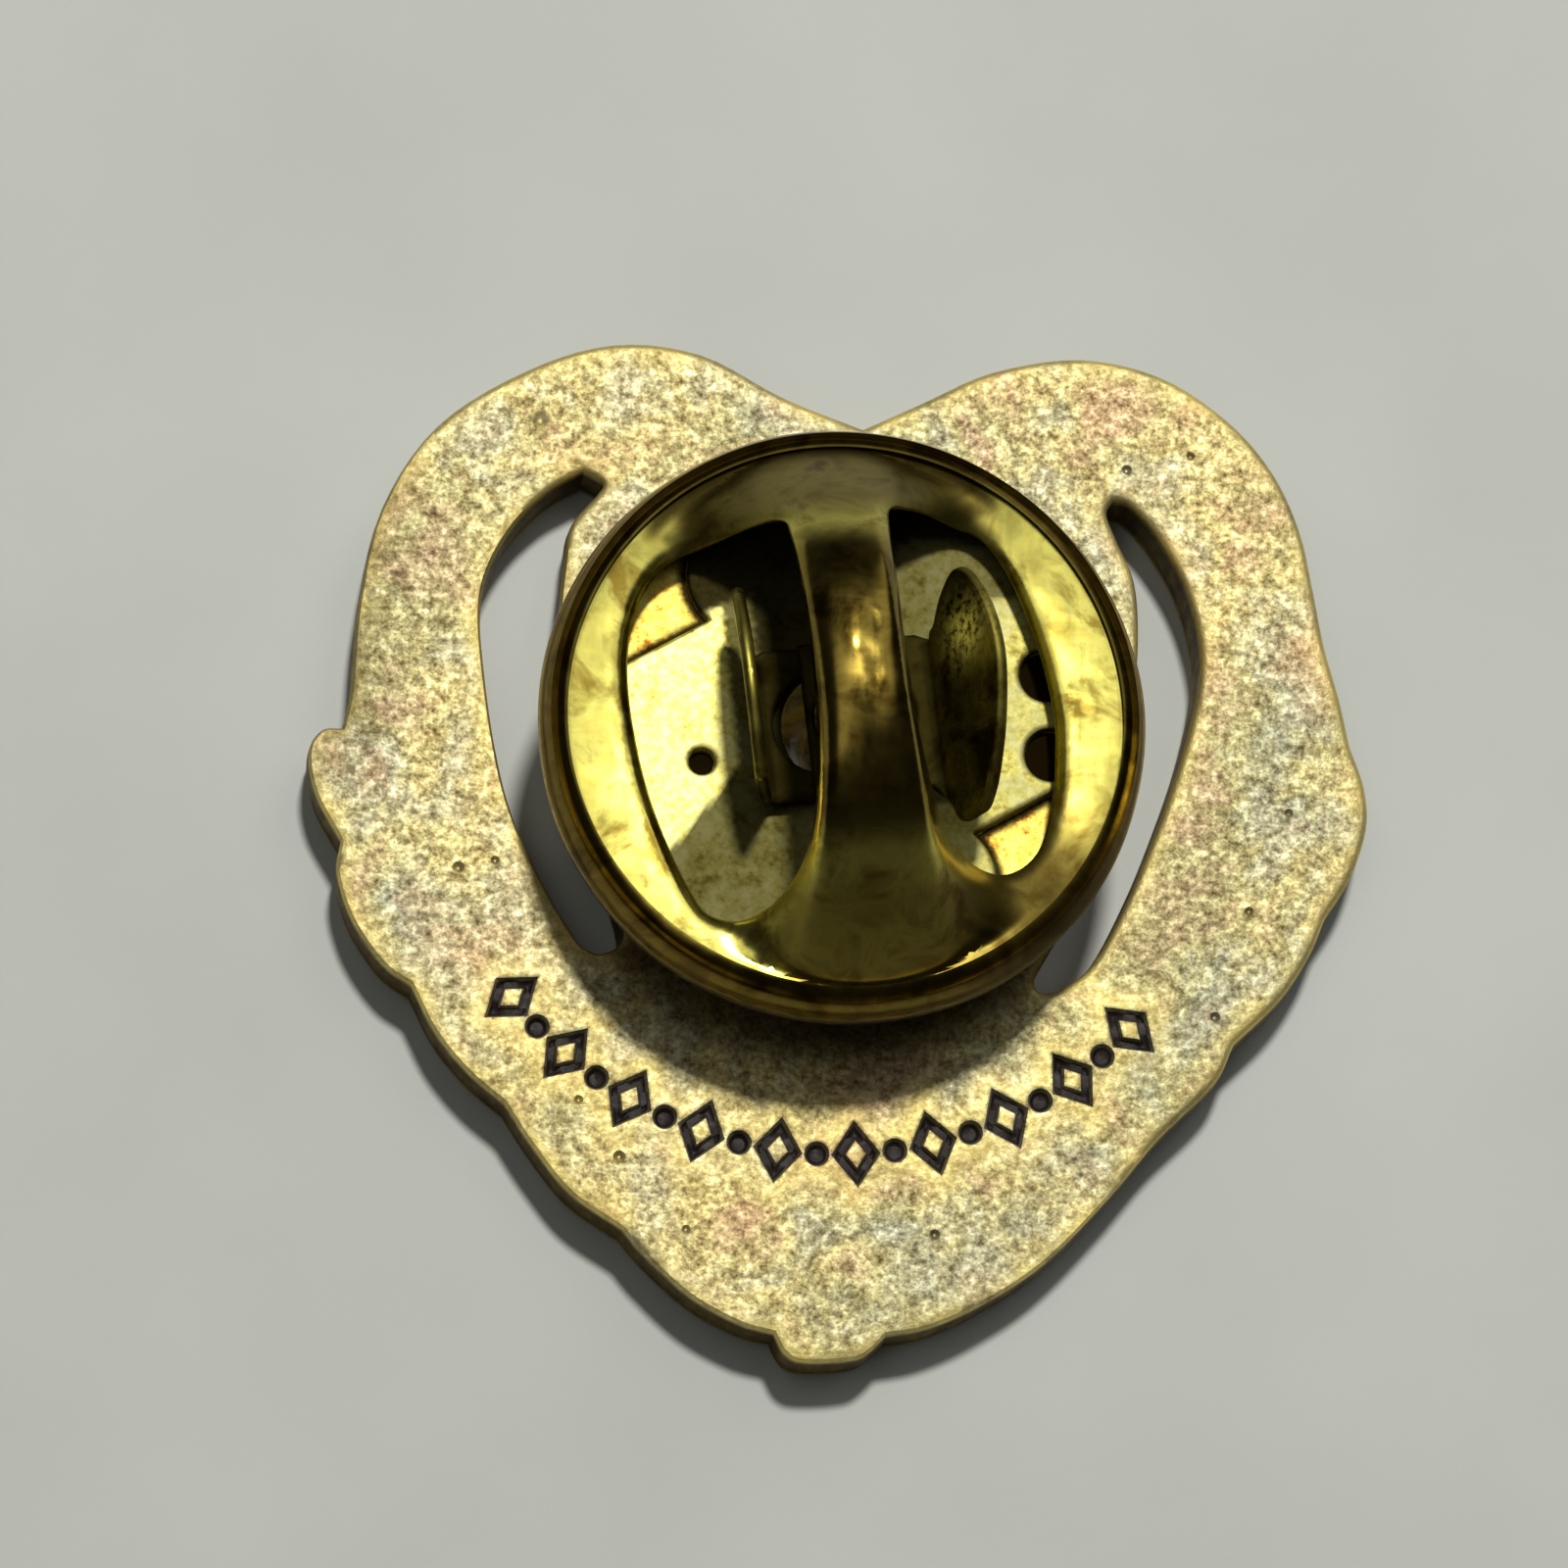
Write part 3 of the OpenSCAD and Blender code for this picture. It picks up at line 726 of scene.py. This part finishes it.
def cap_form():
    """The cap's outer face: the plate and bridge with their windows, then the rim, row by row."""
    a = 2 * math.pi * np.arange(TURNS) / TURNS
    circle = np.stack([CREASE_R * np.cos(a), CREASE_R * np.sin(a)], 1)
    windows = [smooth_loop(w) for w in (LEFT_WINDOW, RIGHT_WINDOW)]
    sheet = Sheet(circle, windows, step=0.2, grid=0.085, insets=(0.04, 0.09, 0.15))
    points = [np.column_stack([sheet.points, cap_heights(sheet)])]
    faces = [list(f) for f in sheet.faces]
    previous = sheet.rims[0]
    angle = np.arctan2(*sheet.points[previous].T[::-1])
    wave = 0.008 * np.sin(5 * angle + 1) + 0.006 * np.sin(11 * angle + 2)
    count = len(sheet.points)
    for r, height in rim_profile():
        reach = r + wave * (r > 5.3)
        points.append(np.stack([reach * np.cos(angle), reach * np.sin(angle), np.full(TURNS, height)], 1))
        row = list(range(count, count + TURNS))
        count += TURNS
        for i in range(TURNS):
            j = (i + 1) % TURNS
            faces.append([previous[i], row[i], row[j], previous[j]])
        previous = row
    return np.concatenate(points), faces


def cap_wear_and_shade(u, v):
    """Where the cap is darker and duller: a darker rim, tarnishing with painted dark reflection on its
    bridge, the bridge's two roots and the lower right, painted shade along the crease and on the north side,
    and stains.
    """
    reach = np.hypot(u, v)
    rim = smooth((reach - CREASE_R + 0.03) / 0.04)
    # The bridge, its two roots and the lower right get tarnishing that also paints in their dark reflection.
    bridge = smooth((1.9 - abs(u)) / 1.0) * (1 - smooth((abs(v) - 2.4) / 1.2))
    widest = np.where(u < 0, np.where(v < 0, 2.5, 3.5), np.where(v < 0, 4.4, 3.9))
    roots = 0.85 * smooth((abs(v) - 2.7) / 1.2) * smooth((widest - abs(u)) / 1.2)
    lower_right = np.exp(-(((np.degrees(np.arctan2(v, u)) + 49) / 28) ** 2)) * smooth((reach - 3.7) / 0.5)
    tarnish_and_shade = np.clip(np.maximum.reduce([0.95 * bridge, roots, 0.9 * lower_right, rim]), 0, 1)
    dull = 0.42 * smooth((abs(v) - 1.5) / 2.2) * smooth((widest + 0.3 - abs(u)) / 1.2) * (1 - rim)
    # Painted shade along the crease, except on its south side.
    crease = np.exp(-(((reach - CREASE_R) / 0.05) ** 2)) * smooth((v + 2.5) / 2.5)
    # Painted shade over the north part of the plate, less of it by the bridge.
    streaks = smooth((v - 2.6) / 1.2) * smooth((3.9 - abs(u)) / 0.8)
    streaks *= np.where(reach > CREASE_R, 0, 0.4 + 0.5 * smooth((reach - 4.75) / 0.35))
    streaks *= 0.5 + 0.5 * smooth((abs(u) - 0.9) / 0.6)
    # Painted shade at the crease, the north side and the lower right, and the stains.
    grime_and_shade = np.maximum.reduce([0.95 * crease, streaks, 0.72 * lower_right, *spots(u, v, STAINS)])
    return {"tarnish_and_shade": tarnish_and_shade, "grime_and_shade": grime_and_shade, "dull": dull}


def cap():
    points, faces = cap_form()
    metal = brass("cap_brass", (238, 230, 118), (204, 188, 84), (168, 144, 58))
    made = piece("cap_shell", in_clutch_frame(points), faces, "clutch_housing", metal,
                 ["clutch_cap"], values=cap_wear_and_shade(*points.T[:2]))
    thick = made.modifiers.new("sheet", "SOLIDIFY")
    thick.thickness, thick.offset, thick.use_even_offset = SHEET_T * MM, -1, False


def clutch_uv(points):
    """Places across and along the bridge."""
    c, s = math.cos(CLUTCH_TURN), math.sin(CLUTCH_TURN)
    x, y = np.asarray(points)[:, :2].T
    return x * c + y * s, y * c - x * s


def beside(band, holes):
    """Points that follow the spring band's outline and its small holes closely."""
    lines = [dense(turned(x), 0.1) for x in (band, *holes)]
    near = Near(lines)
    return rings(lines, near, (0.02, 0.08, 0.15, 0.23), 0.1)


def spring_shade(points):
    """Painted shade on the spring band: under the bridge, up to the north edge and over the right half."""
    u, v = clutch_uv(points)
    on_left = u < 0.6
    left = smooth((u + 2.12 - np.minimum(0, v + 0.6)) / 0.16)
    right = smooth((2.7 - u) / 0.8) * smooth((v + 1.9) / 0.3) + smooth((v - 1.9) / 0.4)
    by_post = smooth((u + 1.6) / 0.2) * smooth((v + 0.9) / 0.5)
    by_window = smooth((v - 2.75) / 0.3)
    by_edge = smooth((v - 3.35 + 0.25 * abs(u - 1.9)) / 0.25)
    return np.maximum.reduce([
        0.83 * np.where(on_left, left, np.clip(right, 0, 1)),
        0.95 * np.maximum(by_post, by_window) * on_left,
        0.55 * (u > 0.6),
        0.95 * by_edge,
    ])


def spring_plate():
    low, high = box_mm("clutch_spring")
    outline, *holes = loops_at("clutch_spring", high[2])
    sheet = Sheet(outline, holes, step=0.09, grid=0.13, insets=(0.03, 0.07, 0.13))
    p = sheet.points
    bend = 0.02 * rough(p, 2.2, 31) + 0.006 * rough(p, 0.6, 32)
    top = high[2] - 0.02 + bend - round_edge(sheet.edge, 0.09)
    bottom = np.full(len(p), low[2])
    points, faces, _ = closed(sheet, top, sheet, bottom, rows=2)
    tones = [(0.34, (150, 138, 58)), (0.47, (220, 211, 116)), (0.6, (246, 241, 164))]
    metal = grainy_brass("spring_brass", tones, 0.14, 0.008, (0.5, 0.6), True)
    piece("spring_band", points, faces, "clutch_housing", metal, ["clutch_spring"],
          values={"grime_and_shade": spring_shade(points)})


def base_shade(points, band, small):
    """Painted shade on the base plate: along the spring band, under its small holes and at the north edge.
    """
    flat = points[:, :2]
    along = smooth((0.24 - Near([band])(flat)) / 0.14) * ~inside(flat, [band])
    holes = np.any([inside(flat, [x]) for x in small], 0)
    _, v = clutch_uv(points)
    return np.maximum.reduce([0.95 * along, holes, 0.95 * smooth((v - 3.45) / 0.25)])


def base_plate():
    low, high = box_mm("clutch_base")
    outline, hole = loops_at("clutch_base", high[2])
    band, _, *small = loops_at("clutch_spring", box_mm("clutch_spring")[1][2])
    sheet = Sheet(outline, [hole], step=0.15, grid=0.16, insets=(0.05, 0.12), extra=beside(band, small))
    p = sheet.points
    top = high[2] + 0.02 * rough(p, 0.35, 41) - 0.02 - round_edge(sheet.edge, 0.1)
    bottom = low[2] + round_edge(sheet.edge, 0.08) + 0.01 * (1 + rough(p, 0.8, 42))
    points, faces, _ = closed(sheet, top, sheet, bottom, rows=2)
    tones = [(0.36, (150, 98, 34)), (0.45, (222, 184, 80)), (0.55, (242, 222, 106)), (0.66, (250, 240, 150))]
    metal = grainy_brass("base_brass", tones, 0.14, 0.03, (0.5, 0.62), True)
    piece("base_disc", points, faces, "clutch_back", metal, ["clutch_base"],
          values={"grime_and_shade": base_shade(points, band, small)})


WING_T = 0.25
FOLD_R = 0.3
EAR_CUP = -0.06  # how far the ear's ends bow from its middle
LEAF_HALF_W = 1.5
JAW_AT, JAW_R = 0.38, 0.95  # the jaw hole's middle beyond the post's axis, and its radius
LEFT, RIGHT = -1, 1


def wing_outline(fold, rise, cut, leaf_end):
    """The wing's strip laid flat: s runs out along the jaw leaf, then up an oval ear cut off at v = cut."""
    ear = [(0.1, -1.95), (0.42, -2.28), (0.62, -1.98), (0.78, -1.4), (0.92, -0.6), (1.0, 0.3), (0.96, 1.1),
           (0.83, 1.8), (0.66, 2.3), (0.48, 2.42), (0.3, 2.1), (0.16, 1.6), (0.06, 1.1)]
    curve = smooth_loop([(fold + rise * s, v) for s, v in ear])[:-6]
    curve[:, 1] = np.maximum(curve[:, 1], cut)
    root = fold - 0.2
    first = [(leaf_end, -LEAF_HALF_W), (root, -LEAF_HALF_W)]
    return np.array(first + curve.tolist() + [(root, LEAF_HALF_W), (leaf_end, LEAF_HALF_W)])


def bent(points, fold, leaf_z, lean, side):
    """Bends a flat strip up at the fold: points are (s, v, height above the strip's middle)."""
    s, v, h = points.T
    turn = math.pi / 2 - lean
    arc = FOLD_R * turn
    start = fold - arc / 2
    t = np.clip((s - start) / arc, 0, 1) * turn
    beyond = np.maximum(0, s - start - arc)
    u = np.minimum(s, start) + FOLD_R * np.sin(t) + beyond * math.cos(turn)
    z = FOLD_R * (1 - np.cos(t)) + beyond * math.sin(turn)
    lift = h + EAR_CUP * (v / 2.3) ** 2 * smooth(beyond / 1.0)
    u, z = u - lift * np.sin(t), z + lift * np.cos(t)
    return np.stack([side * u, side * v, z + leaf_z + WING_T / 2], 1)


def wing_painted_light(points, edge, fold, side):
    """Painted shade on the jaw leaf and the ear's edge, and a painted highlight patch on the right ear."""
    s, v, _ = points.T
    grime_and_shade = np.maximum(0.93 * smooth((fold + 0.45 - s) / 0.5), 0.4 * (side == LEFT))
    grime_and_shade = np.maximum(grime_and_shade, (0.75 if side == RIGHT else 0.5) * np.exp(-((edge / 0.1) ** 2)))
    painted_highlight = np.exp(-(((s - fold - 1.45) / 0.6) ** 2) - ((v - 1.15) / 0.55) ** 2) * (side == RIGHT)
    return {"grime_and_shade": grime_and_shade, "painted_highlight": painted_highlight}


def wing(name, node, body, material, side, leaf_z, lean, fold, cut, leaf_end):
    top_z = box_mm(node)[1][2] - CLUTCH_Z
    lean = math.radians(lean)
    rise = (top_z - leaf_z - WING_T / 2) / math.cos(lean) - 0.08
    outline = wing_outline(fold, rise, cut, leaf_end) * (1, side)
    a = np.linspace(0, 2 * math.pi, 48, endpoint=False)
    jaw = np.stack([JAW_AT + JAW_R * np.cos(a), JAW_R * np.sin(a)], 1)
    sheet = Sheet(outline, [jaw], step=0.1, grid=0.11, insets=(0.03, 0.07, 0.12))
    fall = round_edge(sheet.edge, 0.1)
    wave = 0.012 * rough(sheet.points, 0.9, 50 + side)
    points, faces, _ = closed(sheet, WING_T / 2 - fall + wave, sheet, fall - WING_T / 2 + wave, rows=2)
    made = in_clutch_frame(bent(points, fold, leaf_z, lean, side))
    painted_light = wing_painted_light(points, sheet.near_edges(points[:, :2]), fold, side)
    piece(name, made, faces, body, material, [node], values=painted_light)


def wings():
    metal = brass("wing_brass", (190, 180, 84), (140, 124, 52), (96, 78, 28), (0.18, 0.36))
    wing("wing_left_bent", "left_wing", "left_jaw", metal, LEFT, leaf_z=0.94, lean=7, fold=1.58, cut=-1.45,
         leaf_end=-0.95)
    wing("wing_right_bent", "right_wing", "right_jaw", metal, RIGHT, leaf_z=1.24, lean=26, fold=1.7, cut=-3,
         leaf_end=-0.74)


# ---------------------------------------------------------------- floor, light and camera

CAMERA_AZIMUTH, CAMERA_ELEVATION, CAMERA_ROLL = -17.9, 74.6, 20.0
CAMERA_TARGET = Vector((-0.87, -0.57, 1.5)) * MM
CAMERA_DISTANCE = 137.0 * MM
CAMERA_LENS = 164.5


def direction(azimuth, elevation):
    """The way from the badge to a place: azimuth 0 is at -Y, and 90 at +X."""
    a, e = math.radians(azimuth), math.radians(elevation)
    return Vector((math.sin(a) * math.cos(e), -math.cos(a) * math.cos(e), math.sin(e)))


def camera():
    data = bpy.data.cameras.new("camera")
    data.lens, data.sensor_width = CAMERA_LENS, 36.0
    data.clip_start, data.clip_end = 0.005, 10.0
    made = bpy.data.objects.new("camera", data)
    bpy.context.scene.collection.objects.link(made)
    back = direction(CAMERA_AZIMUTH, CAMERA_ELEVATION)
    made.location = CAMERA_TARGET + back * CAMERA_DISTANCE
    roll = Matrix.Rotation(math.radians(CAMERA_ROLL), 3, "Z")
    made.rotation_euler = ((-back).to_track_quat("-Z", "Y").to_matrix() @ roll).to_euler()
    bpy.context.scene.camera = made


KEY_AZIMUTH, KEY_ELEVATION = 172, 66
KEY_DISTANCE, KEY_SIZE, KEY_POWER = 0.4, 0.045, 1.3
KEY_TINT = (1.0, 0.98, 0.94)


def key_lamp():
    data = bpy.data.lights.new("key", "AREA")
    data.shape, data.size, data.energy, data.color = "DISK", KEY_SIZE, KEY_POWER, KEY_TINT
    made = bpy.data.objects.new("key", data)
    bpy.context.scene.collection.objects.link(made)
    back = direction(KEY_AZIMUTH, KEY_ELEVATION)
    made.location = back * KEY_DISTANCE
    made.rotation_euler = (-back).to_track_quat("-Z", "Y").to_euler()


# The sky's panels, in the components of a direction: a slanted band with a dark strip along its middle.
BAND_MIDDLE, BAND_AT, BAND_SLANT = 0.08, 0.2, 0.6
PANEL_INNER, PANEL_OUTER, PANEL_ENDS = (0.13, 0.22), (0.45, 0.6), (0.3, 0.5)
PANEL, AMBIENT, BACKDROP = 0.9, 0.025, 0.55


class Sky:
    """A short way to write the world's nodes."""

    def __init__(self, name):
        world = bpy.data.worlds.new(name)
        bpy.context.scene.world = world
        world.use_nodes = True
        self.tree = world.node_tree
        self.tree.nodes.clear()

    def add(self, kind, **inputs):
        made = self.tree.nodes.new("ShaderNode" + kind)
        for key, value in inputs.items():
            feed(self.tree, made.inputs[key.replace("_", " ")], value)
        return made

    def fade(self, value, low, high, start=0.0, end=1.0):
        made = self.add("MapRange", Value=value)
        made.interpolation_type = "SMOOTHSTEP"
        for key, number in (("From Min", low), ("From Max", high), ("To Min", start), ("To Max", end)):
            made.inputs[key].default_value = number
        return made.outputs[0]

    def maths(self, how, a, b=0.0):
        made = self.add("Math")
        made.operation = how
        feed(self.tree, made.inputs[0], a)
        feed(self.tree, made.inputs[1], b)
        return made.outputs[0]

    def product(self, *values):
        total = values[0]
        for value in values[1:]:
            total = self.maths("MULTIPLY", total, value)
        return total


def sky():
    """A dim room with a soft panel high on the left and one on the right, and a plain backdrop."""
    s = Sky("soft_box")
    x, y, z = s.add("SeparateXYZ", Vector=s.add("TexCoord").outputs["Generated"]).outputs
    sideways = s.maths("ABSOLUTE", s.maths("SUBTRACT", x, BAND_MIDDLE))
    centre = s.maths("ADD", BAND_AT, s.product(x, BAND_SLANT))
    lengthways = s.maths("ABSOLUTE", s.maths("SUBTRACT", y, centre))
    panel = s.product(s.fade(sideways, *PANEL_INNER), s.fade(sideways, *PANEL_OUTER, 1.0, 0.0),
                      s.fade(lengthways, *PANEL_ENDS, 1.0, 0.0), s.fade(z, 0.0, 0.2))
    room = s.maths("ADD", s.product(panel, PANEL), AMBIENT)
    seen = s.add("LightPath").outputs["Is Camera Ray"]
    unseen = s.maths("SUBTRACT", 1.0, seen)
    total = s.maths("ADD", s.product(room, unseen), s.product(seen, BACKDROP))
    light = s.add("Background", Color=(1.0, 0.99, 0.97, 1.0), Strength=total)
    s.tree.links.new(light.outputs[0], s.add("OutputWorld").inputs[0])


FLOOR_HALF = 1.5


def stage():
    mesh = bpy.data.meshes.new("floor")
    h = FLOOR_HALF
    mesh.from_pydata([(-h, -h, 0), (h, -h, 0), (h, h, 0), (-h, h, 0)], [], [(0, 1, 2, 3)])
    mesh.materials.append(floor_paint())
    made = bpy.data.objects.new("floor", mesh)
    bpy.context.scene.collection.objects.link(made)
    bpy.context.scene.view_settings.view_transform = "Standard"
    sky()
    key_lamp()


badge()
enamels()
post()
base_plate()
spring_plate()
wings()
cap()
camera()
stage()
